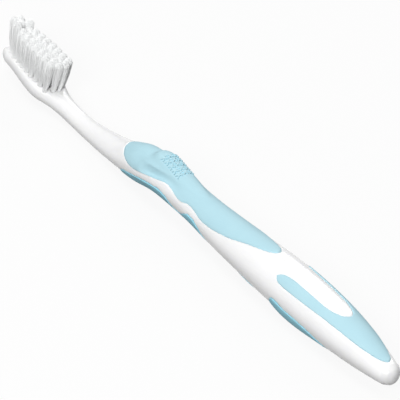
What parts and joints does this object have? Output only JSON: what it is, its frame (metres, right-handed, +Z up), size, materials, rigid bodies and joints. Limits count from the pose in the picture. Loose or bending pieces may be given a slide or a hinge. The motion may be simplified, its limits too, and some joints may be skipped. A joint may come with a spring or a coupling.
{
  "type": "manual toothbrush",
  "caption": "Manual toothbrush with an oval tufted head, slim neck and a curved handle with soft grip pads, a raised thumb leaf and a swollen palm.",
  "frame": {"origin": "middle of the brush's length and width, on the table that it lies on with the bristles up", "axes": "+X along the brush from the head to the butt, +Z up towards the bristle tips, +Y across the brush"},
  "size_m": [0.19, 0.0156, 0.0195],
  "materials": {
    "handle_plastic": "gloss moulded polypropylene",
    "grip_rubber": "matte light blue thermoplastic elastomer",
    "bristle_nylon": "clear white nylon filaments",
    "anchor_metal": "drawn flat wire"
  },
  "bodies": {
    "root": {"front_grip": "grip_rubber", "handle": "handle_plastic", "heel_grip": "grip_rubber", "lower_back_grip": "grip_rubber", "tuft_01": "bristle_nylon", "tuft_02": "bristle_nylon", "tuft_03": "bristle_nylon", "tuft_04": "bristle_nylon", "tuft_05": "bristle_nylon", "tuft_06": "bristle_nylon", "tuft_07": "bristle_nylon", "tuft_08": "bristle_nylon", "tuft_09": "bristle_nylon", "tuft_10": "bristle_nylon", "tuft_11": "bristle_nylon", "tuft_12": "bristle_nylon", "tuft_13": "bristle_nylon", "tuft_14": "bristle_nylon", "tuft_15": "bristle_nylon", "tuft_16": "bristle_nylon", "tuft_17": "bristle_nylon", "tuft_18": "bristle_nylon", "tuft_19": "bristle_nylon", "tuft_20": "bristle_nylon", "tuft_21": "bristle_nylon", "tuft_22": "bristle_nylon", "tuft_23": "bristle_nylon", "tuft_24": "bristle_nylon", "tuft_25": "bristle_nylon", "tuft_26": "bristle_nylon", "tuft_27": "bristle_nylon", "tuft_28": "bristle_nylon", "tuft_29": "bristle_nylon", "tuft_30": "bristle_nylon", "tuft_31": "bristle_nylon", "tuft_32": "bristle_nylon", "tuft_33": "bristle_nylon", "tuft_34": "bristle_nylon", "tuft_35": "bristle_nylon", "tuft_anchors": "anchor_metal", "upper_back_grip": "grip_rubber"}
  },
  "joints": []
}
